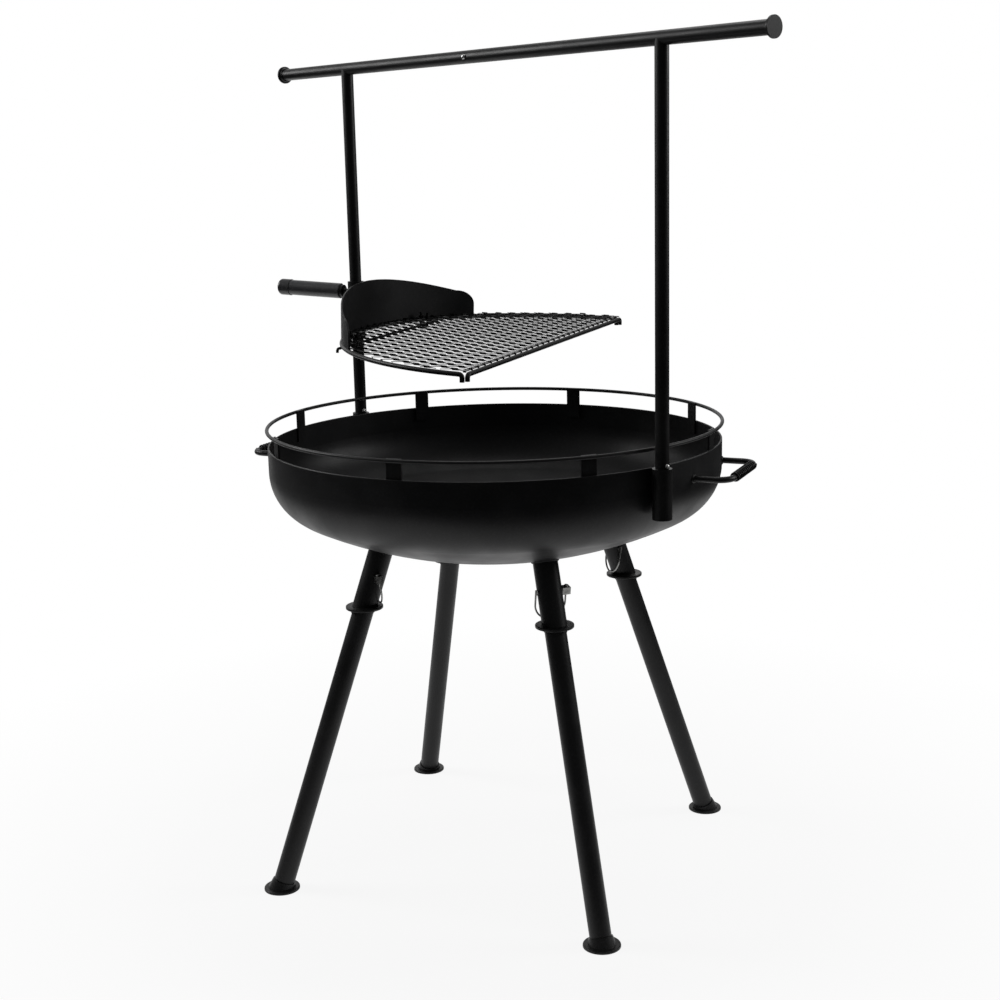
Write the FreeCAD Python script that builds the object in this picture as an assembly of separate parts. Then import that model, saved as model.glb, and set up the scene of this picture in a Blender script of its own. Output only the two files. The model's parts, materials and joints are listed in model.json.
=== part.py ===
"""Fire pit grill: a dished bowl on four splayed legs, with a crossbar frame
over it and a swinging half-moon cooking grate on one of the two posts.

Frame: millimetres, +Z up. The origin is on the bowl's axis at floor level.
+X runs along the crossbar, from the grate's post to the bare post.
"""
import FreeCAD, Part
import math
import os

Vector = FreeCAD.Vector
UP = Vector(0, 0, 1)

# Bowl
bowl_diameter = 762.0
rim_height = 741.0
bowl_depth = 198.0
wall_height = 42.0
knuckle_radius = 87.0
sheet_thickness = 3.0

# Guard ring and the tabs that carry it, with the legs and handles on the same spacing
fitting_angle = 27.3
ring_bar_diameter = 6.0
ring_height_over_rim = 28.3
tab_count = 8
tab_width = 25.0
tab_thickness = 3.0
tab_lap = 24.0

# Bowl handles with a wound wire grip
handle_drop = 34.0
handle_half_width = 81.0
handle_reach = 49.0
handle_bar_diameter = 10.0
handle_bend_radius = 24.0
coil_wire_diameter = 3.0
coil_pitch = 9.0
coil_turns = 12
coil_seat_gap = 0.15
coil_least_gap = 0.4
coil_samples = 24

# Legs, their sockets, collars and feet
leg_count = 4
leg_splay = 19.2
foot_circle_radius = 406.3
leg_diameter = 35.0
leg_wall = 2.0
leg_fit = 0.4
leg_top_room = 14.0
leg_socket_diameter = 40.5
leg_socket_height = 477.0
collar_diameter = 62.5
collar_thickness = 5.0
collar_neck_diameter = 37.4
collar_neck_length = 6.5
foot_diameter = 60.0
foot_thickness = 4.0
foot_neck_length = 14.0
foot_neck_wall = 2.0
foot_flare = 5.0

# Lock pins with a spring wire bail
pin_height = 525.7
pin_diameter = 8.0
pin_fit = 0.2
pin_tip_overhang = 1.5
pin_head_length = 14.0
pin_head_width = 12.0
bail_wire_diameter = 3.0
bail_tilt = 61.0
bail_straight = 20.0
bail_tip_gap = 0.6
bail_overlap = 5.0
bail_bore_fit = 0.08
bail_knob_diameter = 6.0
bail_knob_height = 2.5
bail_knob_gap = 0.4
bail_hinge_offset = 1.0

# Posts and their sockets on the bowl
post_diameter = 21.3
post_wall = 1.6
post_fit = 0.3
post_ring_gap = 2.4
post_socket_wall = 4.3
post_socket_top = 741.0
post_socket_length = 78.5
post_weld_width = 14.0
post_weld_inset = 3.0
post_foot_room = 4.0
rivet_shank_diameter = 5.0
rivet_head_diameter = 8.0
rivet_head_height = 2.8

# Crossbar
bar_height = 1365.0
bar_half_length = 604.0
bar_joint_offset = -20.7
bar_spigot_length = 58.0
spigot_fit = 0.2
spigot_wall = 1.8
stub_drop = 70.0
stub_spigot_length = 60.0
end_cap_diameter = 31.0
end_cap_rim = 3.0
end_cap_length = 5.0
end_cap_wall = 1.2
end_plug_length = 15.0

# Snap button that locks the crossbar's two halves
button_inset = 24.0
button_diameter = 8.0
button_fit = 0.3
button_proud = 3.5
button_flange_diameter = 11.0
button_flange_thickness = 1.5
spring_strip_thickness = 0.8
spring_strip_width = 8.0
spring_strip_length = 26.0

# Grill carriage on the left post
grate_height = 899.9
grate_swing = 26.7
grate_droop = 2.9
grate_tilt = 1.35
bush_fit = 0.35
bush_wall = 1.5
bush_flange_thickness = 3.0
sleeve_fit = 0.08
sleeve_wall = 2.2
sleeve_below = 17.0
sleeve_above = 83.0

# Half-moon grate
grate_radius = 357.0
grate_stand_off = 19.0
grate_rod_diameter = 8.0
rod_bend_radius = 6.0
foot_drop = 12.5
front_foot_drop = 11.0
front_foot_tuck = 3.0
cross_rod_diameter = 5.0
cross_rod_inset = 50.0
cross_rod_bend_radius = 4.0
cross_foot_stand_off = 12.0
cross_foot_drop = 13.0
mesh_thickness = 2.0
mesh_border = 7.0
mesh_long_way = 49.5
mesh_short_way = 24.8
mesh_side_shift = 2.8
mesh_strand = 3.4
mesh_least_hole = 60.0

# Wind plate
plate_thickness = 2.5
plate_half_width = 250.0
plate_height = 84.0
plate_crown_drop = 36.0
plate_corner_radius = 28.0
plate_mesh_gap = 0.4
bracket_width = 14.0
bracket_bottom = 20.0
bracket_top = 74.0

# U-bolts that clamp the mesh to the cross rod, and their nuts
clamp_places = (-139.0, 139.0)
clamp_wire_diameter = 5.0
clamp_leg_spacing = 13.7
clamp_hole_fit = 0.3
clamp_rod_gap = 0.2
clamp_end = 6.0
nut_bore_fit = 0.1
nut_width = 9.0
nut_height = 5.5
nut_flange_diameter = 12.0
nut_flange_thickness = 1.2

# Lifting handle
lift_height = 66.5
lift_inner = 28.0
lift_tip = 165.0
lift_diameter = 28.0
lift_cap_diameter = 30.0
lift_cap_length = 25.0
lift_cap_round = 7.0
lift_ferrule_diameter = 23.0
lift_ferrule_length = 5.0
lift_stud_diameter = 10.0
lift_stud_engagement = 70.0

# Sizes that follow from the driving dimensions
bowl_radius = bowl_diameter / 2
inner_radius = bowl_radius - sheet_thickness
knuckle_height = rim_height - wall_height
bowl_bottom = rim_height - bowl_depth
knuckle_inset = bowl_radius - knuckle_radius
dish_depth = bowl_depth - wall_height
crown_squares = dish_depth ** 2 + knuckle_inset ** 2 - knuckle_radius ** 2
crown_radius = crown_squares / (2 * (dish_depth - knuckle_radius))
crown_height = bowl_bottom + crown_radius
first_leg_angle = fitting_angle - 180 / leg_count
post_socket_diameter = post_diameter + 2 * (post_fit + post_socket_wall)
post_reach = inner_radius + ring_bar_diameter + post_ring_gap + post_diameter / 2
post_bore = post_diameter - 2 * post_wall
spigot_diameter = post_bore - 2 * spigot_fit
bush_bore = post_diameter + 2 * bush_fit
bush_diameter = bush_bore + 2 * bush_wall
sleeve_bore = bush_diameter + 2 * sleeve_fit
sleeve_diameter = sleeve_bore + 2 * sleeve_wall
stub_joint_height = bar_height - stub_drop
grate_reach = grate_stand_off + grate_radius
cross_rod_reach = grate_stand_off + cross_rod_inset
cross_rod_half = math.sqrt(grate_radius ** 2 - (grate_radius - cross_rod_inset) ** 2)
cross_rod_foot = cross_rod_half + cross_foot_stand_off + cross_rod_bend_radius
rim_foot_reach = grate_reach + rod_bend_radius
front_rod_reach = rim_foot_reach + grate_rod_diameter
front_rod_foot = grate_radius - front_foot_tuck
mesh_inset = plate_thickness / 2 + plate_mesh_gap
mesh_edge = grate_radius - mesh_inset
mesh_chord = front_rod_reach - mesh_inset
mesh_bottom = math.sqrt((grate_rod_diameter / 2) ** 2 - mesh_inset ** 2)
mesh_top = mesh_bottom + mesh_thickness
cross_rod_level = -(grate_rod_diameter + cross_rod_diameter) / 2
clamp_bend_radius = clamp_leg_spacing / 2
clamp_bottom = cross_rod_level - (cross_rod_diameter + clamp_wire_diameter) / 2 - clamp_rod_gap
clamp_bend_height = clamp_bottom + clamp_bend_radius
clamp_top = mesh_top + nut_height + clamp_end


def cylinder(diameter, start, end):
    """Round bar between two points."""
    along = end - start
    return Part.makeCylinder(diameter / 2, along.Length, start, along)


def tube(outer, inner, start, end):
    """Round tube between two points."""
    return cylinder(outer, start, end).cut(cylinder(inner, start, end))


def box(low, high):
    """Box between two corners."""
    size = high - low
    return Part.makeBox(size.x, size.y, size.z, low)


def turned(edges):
    """Solid turned about Z from a closed outline in the XZ plane."""
    face = Part.Face(Part.Wire(Part.__sortEdges__(edges)))
    return face.revolve(Vector(), UP, 360)


def polyline(points):
    """Straight edges round a closed loop of points."""
    return [Part.LineSegment(a, b).toShape() for a, b in zip(points, points[1:] + points[:1])]


def arc(start, middle, end):
    """Circular edge through three points."""
    return Part.Arc(start, middle, end).toShape()


def round_rod(edges, diameter):
    """Round rod swept along a path of tangent edges, given in order."""
    path = Part.Wire(edges)
    first = edges[0]
    start = first.valueAt(first.FirstParameter)
    along = first.tangentAt(first.FirstParameter)
    section = Part.Wire(Part.makeCircle(diameter / 2, start, along))
    return path.makePipeShell([section], True, False)


def about_z(shape, angle):
    """Copy turned about the bowl's axis."""
    copy = shape.copy()
    copy.rotate(Vector(), UP, angle)
    return copy


def polar(radius, angle, height=0.0):
    """Point at a radius and an angle in degrees."""
    turn = math.radians(angle)
    return Vector(radius * math.cos(turn), radius * math.sin(turn), height)


def save(node, shape):
    """Write one node's solids to its own file."""
    shape.exportStep("parts/" + node + ".step")


def bowl_outline(inset):
    """Half profile of the bowl from below its rim to the axis, at an inset from the outside."""
    radius = bowl_radius - inset
    knuckle = knuckle_radius - inset
    crown = crown_radius - inset
    meet_angle = math.atan2(knuckle_height - crown_height, knuckle_inset)
    half_angle = meet_angle / 2
    bottom_angle = (meet_angle - math.pi / 2) / 2
    top = Vector(radius, 0, rim_height - sheet_thickness / 2)
    shoulder = Vector(radius, 0, knuckle_height)

    def on_knuckle(turn):
        return Vector(knuckle_inset + knuckle * math.cos(turn), 0, knuckle_height + knuckle * math.sin(turn))

    def on_crown(turn):
        return Vector(crown * math.cos(turn), 0, crown_height + crown * math.sin(turn))

    base = Vector(0, 0, crown_height - crown)
    edges = [
        Part.LineSegment(top, shoulder).toShape(),
        arc(shoulder, on_knuckle(half_angle), on_knuckle(meet_angle)),
        arc(on_knuckle(meet_angle), on_crown(bottom_angle), base),
    ]
    return top, base, edges


def make_bowl():
    """Dished sheet bowl with a rounded rim edge."""
    outer_top, outer_base, outer = bowl_outline(0)
    inner_top, inner_base, inner = bowl_outline(sheet_thickness)
    rim = arc(outer_top, Vector(bowl_radius - sheet_thickness / 2, 0, rim_height), inner_top)
    base = Part.LineSegment(outer_base, inner_base).toShape()
    return turned(outer + inner + [rim, base])


def make_bowl_plug():
    """Everything inside the bowl's outer face, for trimming what is welded to it."""
    top, base, outer = bowl_outline(0)
    lid = Part.LineSegment(top, Vector(0, 0, top.z)).toShape()
    axis = Part.LineSegment(Vector(0, 0, top.z), base).toShape()
    return turned(outer + [lid, axis])


def make_guard_ring():
    """Round bar ring above the rim, against the outside of the tabs."""
    radius = inner_radius + ring_bar_diameter / 2
    return Part.makeTorus(radius, ring_bar_diameter / 2, Vector(0, 0, rim_height + ring_height_over_rim))


def make_tabs():
    """Curved strips on the inside of the wall that hold the guard ring."""
    span = math.degrees(tab_width / inner_radius)
    bottom = rim_height - tab_lap
    height = tab_lap + ring_height_over_rim + ring_bar_diameter / 2
    foot = Vector(0, 0, bottom)
    outer = Part.makeCylinder(inner_radius, height, foot, UP, span)
    strip = outer.cut(Part.makeCylinder(inner_radius - tab_thickness, height, foot, UP, 360))
    step = 360 / tab_count
    return Part.makeCompound([about_z(strip, fitting_angle + i * step - span / 2) for i in range(tab_count)])


def make_side_handle(plug):
    """U-shaped bar welded to the wall, pointing along +X."""
    height = rim_height - handle_drop
    root = bowl_radius - handle_half_width
    outer = bowl_radius + handle_reach
    bend = handle_bend_radius
    slack = bend * (1 - math.sqrt(0.5))
    half = handle_half_width
    points = [
        Vector(root, -half, height),
        Vector(outer - bend, -half, height),
        Vector(outer - slack, slack - half, height),
        Vector(outer, bend - half, height),
        Vector(outer, half - bend, height),
        Vector(outer - slack, half - slack, height),
        Vector(outer - bend, half, height),
        Vector(root, half, height),
    ]
    path = [
        Part.LineSegment(points[0], points[1]).toShape(),
        arc(points[1], points[2], points[3]),
        Part.LineSegment(points[3], points[4]).toShape(),
        arc(points[4], points[5], points[6]),
        Part.LineSegment(points[6], points[7]).toShape(),
    ]
    return round_rod(path, handle_bar_diameter).cut(plug)


def biarc(start, start_way, end, end_way):
    """Two tangent arcs between two points with given unit directions."""
    span = end - start
    ways = start_way + end_way
    spread = 2 * (1 - start_way.dot(end_way))
    along = span.dot(ways)
    reach = (math.sqrt(along ** 2 + spread * span.dot(span)) - along) / spread
    first = start + start_way * reach
    second = end - end_way * reach
    middle = (first + second) * 0.5
    return [tangent_arc(start, first, middle), tangent_arc(middle, second, end)]


def tangent_arc(start, corner, end):
    """Arc from start to end whose end tangents meet at a corner."""
    centre = (start + end) * 0.5
    rise = corner - centre
    half_chord = (end - start).Length / 2
    turn = math.atan2(rise.Length, half_chord)
    return arc(start, centre + rise * (half_chord * math.tan(turn / 2) / rise.Length), end)


def make_coil():
    """Wire wound round the handle's outer bar, as one unbroken tube along Y."""
    radius = handle_bar_diameter / 2 + coil_seat_gap + coil_wire_diameter / 2
    centre = Vector(bowl_radius + handle_reach, 0, rim_height - handle_drop)
    length = coil_turns * coil_pitch

    def point(turns):
        angle = 2 * math.pi * turns
        along = turns * coil_pitch - length / 2
        return centre + Vector(radius * math.cos(angle), along, radius * math.sin(angle))

    def way(turns):
        angle = 2 * math.pi * turns
        rate = Vector(-radius * math.sin(angle), coil_pitch / (2 * math.pi), radius * math.cos(angle))
        return rate.normalize()

    halves = [i / 2 for i in range(2 * coil_turns + 1)]
    path = []
    for begin, end in zip(halves, halves[1:]):
        path += biarc(point(begin), way(begin), point(end), way(end))
    lead_in = Part.LineSegment(point(0) - way(0) * coil_wire_diameter, point(0)).toShape()
    last = halves[-1]
    lead_out = Part.LineSegment(point(last), point(last) + way(last) * coil_wire_diameter).toShape()
    samples = [point(i / coil_samples) for i in range(coil_samples * coil_turns + 1)]
    half_turn = coil_samples // 2
    pairs = [(a - b).Length for i, a in enumerate(samples) for b in samples[i + half_turn:]]
    gap = min(pairs) - coil_wire_diameter
    print("coil least gap to itself", round(gap, 2), "mm, wanted over", coil_least_gap)
    return round_rod([lead_in] + path + [lead_out], coil_wire_diameter)


def on_leg(shape, index):
    """Place a shape made along Z from the foot's centre onto one splayed leg."""
    copy = shape.copy()
    copy.rotate(Vector(), Vector(0, 1, 0), -leg_splay)
    copy.translate(Vector(foot_circle_radius, 0, 0))
    return about_z(copy, first_leg_angle + index * 360 / leg_count)


def along_leg(height):
    """Distance along a leg's axis from the floor to a height."""
    return height / math.cos(math.radians(leg_splay))


def leg_radius(height):
    """Radius of the leg's axis from the bowl's axis at a height."""
    return foot_circle_radius - height * math.tan(math.radians(leg_splay))


def bowl_meets_leg():
    """Height where a leg's axis meets the bowl's outer face."""
    low, high = bowl_bottom, knuckle_height
    for _ in range(60):
        height = (low + high) / 2
        face = crown_height - math.sqrt(crown_radius ** 2 - leg_radius(height) ** 2)
        low, high = (height, high) if height < face else (low, height)
    return low


def floor_cut(height):
    """Block that clears everything below a height round the first leg."""
    size = 4 * foot_diameter
    centre = polar(foot_circle_radius, first_leg_angle)
    return box(centre - Vector(size, size, size), centre + Vector(size, size, height))


def pin_hole(extra):
    """Cross bar through a leg on its lock pin's axis, in the leg's own frame."""
    middle = Vector(0, 0, along_leg(pin_height))
    side = Vector(0, leg_socket_diameter, 0)
    return cylinder(pin_diameter + 2 * extra, middle - side, middle + side)


def make_leg_socket(index, plug):
    """Tube welded under the bowl, coped to its curve and cut level at its mouth."""
    bottom = Vector(0, 0, along_leg(leg_socket_height) - leg_socket_diameter)
    top = Vector(0, 0, along_leg(knuckle_height))
    shell = tube(leg_socket_diameter, leg_diameter + 2 * leg_fit, bottom, top)
    placed = on_leg(shell.cut(pin_hole(pin_fit)), 0).cut(floor_cut(leg_socket_height)).cut(plug)
    return about_z(placed, index * 360 / leg_count)


def make_leg_tube(index):
    """Round leg from its foot to near the bowl, mitred level on its foot."""
    low = Vector(0, 0, -foot_diameter)
    top = Vector(0, 0, along_leg(bowl_meets_leg()) - leg_top_room)
    shell = tube(leg_diameter, leg_diameter - 2 * leg_wall, low, top)
    placed = on_leg(shell.cut(pin_hole(pin_fit)), 0).cut(floor_cut(foot_thickness))
    return about_z(placed, index * 360 / leg_count)


def make_collar(index):
    """Level stop disc on the leg, against its socket's mouth, with a short neck below it."""
    low = leg_socket_height - collar_thickness
    centre = polar(leg_radius(low + collar_thickness / 2), first_leg_angle, low)
    disc = Part.makeCylinder(collar_diameter / 2, collar_thickness, centre)
    rims = [edge for edge in disc.Edges if edge.Curve.TypeId == "Part::GeomCircle"]
    disc = disc.makeFillet(collar_thickness / 4, rims)
    side = Vector(collar_diameter, collar_diameter, 0)
    slab = box(centre - side - UP * collar_neck_length, centre + side + UP * (collar_thickness / 2))
    middle = Vector(0, 0, along_leg(low))
    reach = UP * collar_diameter
    neck = on_leg(cylinder(collar_neck_diameter, middle - reach, middle + reach), 0).common(slab)
    bore = on_leg(cylinder(leg_diameter, middle - reach, middle + reach), 0)
    solid = disc.fuse(neck).cut(bore).removeSplitter()
    return about_z(solid, index * 360 / leg_count)


def make_foot(index):
    """Flat disc foot with a flared neck round the leg."""
    centre = polar(foot_circle_radius, first_leg_angle)
    disc = Part.makeCylinder(foot_diameter / 2, foot_thickness, centre)
    rims = [edge for edge in disc.Edges if edge.Curve.TypeId == "Part::GeomCircle"]
    upper = [edge for edge in rims if edge.CenterOfMass.z > foot_thickness / 2]
    disc = disc.makeFillet(foot_thickness / 2, upper)
    neck_radius = leg_diameter / 2 + foot_neck_wall
    low = -foot_neck_length / 2
    neck = Part.makeCone(neck_radius + foot_flare, neck_radius, foot_neck_length - low, Vector(0, 0, low))
    bore = cylinder(leg_diameter, Vector(0, 0, -foot_diameter), Vector(0, 0, 2 * foot_neck_length))
    hollow = on_leg(neck.cut(bore), 0).cut(floor_cut(foot_thickness))
    return about_z(disc.fuse(hollow).removeSplitter(), index * 360 / leg_count)


def in_pin_frame(shape, index):
    """Place a lock pin piece: X along the pin, Y down the bail and along its hinge."""
    tilt = math.radians(bail_tilt)
    down = Vector(-math.cos(tilt), 0, -math.sin(tilt))
    pin = Vector(0, 1, 0)
    turn = FreeCAD.Rotation(pin, down, pin.cross(down), "XYZ")
    copy = shape.copy()
    copy.Placement = FreeCAD.Placement(Vector(0, 0, along_leg(pin_height)), turn)
    return on_leg(copy, index)


# Places along a lock pin, measured from the middle of its leg
pin_tip = -leg_socket_diameter / 2 - pin_tip_overhang
pin_head_start = leg_socket_diameter / 2
bail_hinge = pin_head_start + pin_head_length / 2 + bail_hinge_offset
bail_end = pin_tip - bail_tip_gap - bail_wire_diameter / 2


def make_lock_pin(index):
    """Straight pin with a square head, cross bored for the wire that its bail turns on."""
    half = pin_head_width / 2
    shank = cylinder(pin_diameter, Vector(pin_tip, 0, 0), Vector(pin_head_start, 0, 0))
    head_end = pin_head_start + pin_head_length
    head = box(Vector(pin_head_start, -half, -half), Vector(head_end, half, half))
    bore_diameter = bail_wire_diameter + 2 * bail_bore_fit
    bore = cylinder(bore_diameter, Vector(bail_hinge, -half, 0), Vector(bail_hinge, half, 0))
    return in_pin_frame(head.fuse(shank).removeSplitter().cut(bore), index)


def make_bail(index):
    """Spring wire bail, from a knob over the pin's head, through it and round the leg to the pin's tip."""
    knob_foot = Vector(bail_hinge, -pin_head_width / 2 - bail_knob_gap, 0)
    knob = cylinder(bail_knob_diameter, knob_foot, knob_foot - Vector(0, bail_knob_height, 0))
    near = Vector(bail_hinge, bail_straight, 0)
    far = Vector(bail_end, bail_straight, 0)
    radius = (bail_hinge - bail_end) / 2
    path = [
        Part.LineSegment(knob_foot, near).toShape(),
        arc(near, (near + far) * 0.5 + Vector(0, radius, 0), far),
        Part.LineSegment(far, Vector(bail_end, -bail_overlap, 0)).toShape(),
    ]
    return in_pin_frame(round_rod(path, bail_wire_diameter).fuse(knob).removeSplitter(), index)


def make_post_socket(plug):
    """Tube on the bowl's wall at +X, with the weld that joins it to the wall."""
    axis = Vector(post_reach, 0, 0)
    bottom = axis + UP * (post_socket_top - post_socket_length)
    top = axis + UP * post_socket_top
    bore = cylinder(post_diameter + 2 * post_fit, bottom, top)
    body = cylinder(post_socket_diameter, bottom, top)
    weld = box(
        Vector(bowl_radius - post_weld_width, -post_weld_width / 2, knuckle_height + post_weld_inset),
        Vector(post_reach, post_weld_width / 2, post_socket_top - post_weld_inset),
    )
    return body.fuse(weld).cut(plug).cut(bore).removeSplitter()


def rivet_height():
    """Height of the stop rivet, whose heads rest on the socket's top."""
    return post_socket_top + rivet_head_diameter / 2


def make_post():
    """Upright tube at +X, from its socket to the crossbar's stub."""
    axis = Vector(post_reach, 0, 0)
    bottom = axis + UP * (post_socket_top - post_socket_length + post_foot_room)
    shell = tube(post_diameter, post_bore, bottom, axis + UP * stub_joint_height)
    side = Vector(post_diameter, 0, 0)
    middle = axis + UP * rivet_height()
    return shell.cut(cylinder(rivet_shank_diameter, middle - side, middle + side))


def make_stop_rivet():
    """Round-headed rivet through the post at +X, which keeps it from dropping through its socket."""
    shank = rivet_shank_diameter / 2
    head = rivet_head_diameter / 2
    seat = post_diameter / 2
    crest = seat + rivet_head_height
    dome = (head ** 2 + rivet_head_height ** 2) / (2 * rivet_head_height)
    turn = math.asin(head / dome) / 2
    edges = []
    for side in (-1, 1):
        rim = Vector(head, 0, side * seat)
        swell = Vector(dome * math.sin(turn), 0, side * (crest - dome + dome * math.cos(turn)))
        edges.append(arc(rim, swell, Vector(0, 0, side * crest)))
        edges.append(Part.LineSegment(rim, Vector(shank, 0, side * seat)).toShape())
    edges.append(Part.LineSegment(Vector(shank, 0, -seat), Vector(shank, 0, seat)).toShape())
    edges.append(Part.LineSegment(Vector(0, 0, -crest), Vector(0, 0, crest)).toShape())
    rivet = turned(edges)
    rivet.rotate(Vector(), Vector(0, 1, 0), 90)
    rivet.translate(Vector(post_reach, 0, rivet_height()))
    return rivet


def bar_cylinder(diameter, start, end):
    """Round bar along the crossbar's axis between two X places."""
    return cylinder(diameter, Vector(start, 0, bar_height), Vector(end, 0, bar_height))


def make_stub():
    """Tee stub at +X, coped under the crossbar, with a spigot inside the post."""
    inner = (spigot_diameter - 2 * spigot_wall) / 2
    bottom = stub_joint_height - stub_spigot_length
    outline = [
        Vector(inner, 0, bottom),
        Vector(spigot_diameter / 2, 0, bottom),
        Vector(spigot_diameter / 2, 0, stub_joint_height),
        Vector(post_diameter / 2, 0, stub_joint_height),
        Vector(post_diameter / 2, 0, bar_height),
        Vector(inner, 0, bar_height),
    ]
    stub = turned(polyline(outline))
    stub.translate(Vector(post_reach, 0, 0))
    return stub.cut(bar_cylinder(post_diameter, 0, bar_half_length))


def button_bore():
    """Hole for the snap button through the front of both crossbar halves."""
    middle = Vector(bar_joint_offset - button_inset, 0, bar_height)
    return cylinder(button_diameter + 2 * button_fit, middle, middle - Vector(0, post_diameter, 0))


def make_left_bar():
    """Crossbar half over the grate's post, which takes the other half's spigot."""
    outer = bar_cylinder(post_diameter, -bar_half_length, bar_joint_offset)
    inner = bar_cylinder(post_bore, -bar_half_length, bar_joint_offset)
    return outer.cut(inner).cut(button_bore())


def make_right_bar():
    """Crossbar half over the bare post, swaged down at its inner end."""
    spigot_end = bar_joint_offset - bar_spigot_length
    spigot_bore = spigot_diameter - 2 * spigot_wall
    outer = bar_cylinder(post_diameter, bar_joint_offset, bar_half_length)
    spigot = bar_cylinder(spigot_diameter, spigot_end, bar_joint_offset)
    wide_bore = bar_cylinder(post_bore, bar_joint_offset + spigot_wall, bar_half_length)
    narrow_bore = bar_cylinder(spigot_bore, spigot_end, bar_joint_offset + spigot_wall)
    return outer.fuse(spigot).cut(wide_bore).cut(narrow_bore).cut(button_bore()).removeSplitter()


def make_end_cap():
    """Trumpet flare that closes the crossbar's +X end, with a plug inside the tube."""
    bar = post_diameter / 2
    rim = end_cap_diameter / 2
    plug = spigot_diameter / 2
    flare_start = -end_cap_length
    neck = bar + end_cap_wall
    waist = Vector((neck + rim) / 2 - (rim - neck) / 4, 0, flare_start / 3)
    outline = [
        Part.LineSegment(Vector(0, 0, end_cap_rim), Vector(rim, 0, end_cap_rim)).toShape(),
        Part.LineSegment(Vector(rim, 0, end_cap_rim), Vector(rim, 0, 0)).toShape(),
        arc(Vector(rim, 0, 0), waist, Vector(neck, 0, flare_start)),
        Part.LineSegment(Vector(neck, 0, flare_start), Vector(bar, 0, flare_start)).toShape(),
        Part.LineSegment(Vector(bar, 0, flare_start), Vector(bar, 0, 0)).toShape(),
        Part.LineSegment(Vector(bar, 0, 0), Vector(plug, 0, 0)).toShape(),
        Part.LineSegment(Vector(plug, 0, 0), Vector(plug, 0, -end_plug_length)).toShape(),
        Part.LineSegment(Vector(plug, 0, -end_plug_length), Vector(0, 0, -end_plug_length)).toShape(),
        Part.LineSegment(Vector(0, 0, -end_plug_length), Vector(0, 0, end_cap_rim)).toShape(),
    ]
    cap = turned(outline)
    cap.rotate(Vector(), Vector(0, 1, 0), 90)
    cap.translate(Vector(bar_half_length, 0, bar_height))
    return cap


def button_axis_point(depth):
    """Point on the snap button's axis, at a distance in front of the crossbar's axis."""
    return Vector(bar_joint_offset - button_inset, -depth, bar_height)


# Places of the snap button's flange inside the swaged spigot, in front of the bar's axis
button_flange_front = math.sqrt(
    (spigot_diameter / 2 - spigot_wall) ** 2 - (button_flange_diameter / 2) ** 2
) - button_fit
button_flange_back = button_flange_front - button_flange_thickness


def make_button():
    """Domed button with a flange that stops it inside the spigot."""
    dome = button_diameter / 2
    crest = post_diameter / 2 + button_proud
    end = button_axis_point(crest - dome / 2)
    body = cylinder(button_diameter, button_axis_point(button_flange_back), end)
    ball_radius = (dome ** 2 + (dome / 2) ** 2) / dome
    ball = Part.makeSphere(ball_radius, button_axis_point(crest - ball_radius))
    tip = ball.common(cylinder(button_diameter, end, button_axis_point(crest + dome)))
    flange = cylinder(
        button_flange_diameter, button_axis_point(button_flange_back), button_axis_point(button_flange_front)
    )
    return body.fuse([tip, flange]).removeSplitter()


def make_button_spring():
    """Bent spring strip inside the spigot, from the button's flange to the back wall."""
    bore = spigot_diameter / 2 - spigot_wall
    half = spring_strip_width / 2
    back = -math.sqrt(bore ** 2 - half ** 2)
    front = button_flange_back
    centre = bar_joint_offset - button_inset
    open_end = centre + button_flange_diameter / 2
    fold = open_end - spring_strip_length
    thick = spring_strip_thickness
    outline = [
        Vector(open_end, -front, -half),
        Vector(centre - button_flange_diameter / 2, -front, -half),
        Vector(fold, -(back + 3 * thick), -half),
        Vector(fold, -back, -half),
        Vector(open_end, -back, -half),
        Vector(open_end, -(back + thick), -half),
        Vector(fold + 2 * thick, -(back + thick), -half),
        Vector(centre - button_flange_diameter / 2 + thick / 2, -(front - thick), -half),
        Vector(open_end, -(front - thick), -half),
    ]
    face = Part.Face(Part.Wire(polyline(outline)))
    strip = face.extrude(Vector(0, 0, spring_strip_width))
    strip.translate(Vector(0, 0, bar_height))
    return strip


def left_axis(height):
    """Point on the grate's post at a height."""
    return Vector(-post_reach, 0, height)


def make_bush():
    """Flanged liner that slides on the post and carries the sleeve."""
    low = left_axis(grate_height - sleeve_below)
    shoulder = left_axis(grate_height + sleeve_above)
    top = left_axis(grate_height + sleeve_above + bush_flange_thickness)
    liner = tube(bush_diameter, bush_bore, low, top)
    return liner.fuse(tube(sleeve_diameter, bush_bore, shoulder, top)).removeSplitter()


def make_sleeve():
    """Tube that swings on the liner, under its flange."""
    low = left_axis(grate_height - sleeve_below)
    top = left_axis(grate_height + sleeve_above - sleeve_fit)
    return tube(sleeve_diameter, sleeve_bore, low, top)


def on_grate(shape):
    """Place a shape made level, with X out from the post, as the grate hangs."""
    copy = shape.copy()
    copy.rotate(Vector(), Vector(1, 0, 0), grate_tilt)
    copy.rotate(Vector(), Vector(0, 1, 0), grate_droop)
    copy.rotate(Vector(), UP, grate_swing)
    copy.translate(left_axis(grate_height))
    return copy


def sleeve_core():
    """Everything inside the sleeve's outer face, for trimming what is welded to it."""
    reach = sleeve_below + sleeve_above + sleeve_diameter
    return cylinder(sleeve_diameter, left_axis(grate_height - reach), left_axis(grate_height + reach))


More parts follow.
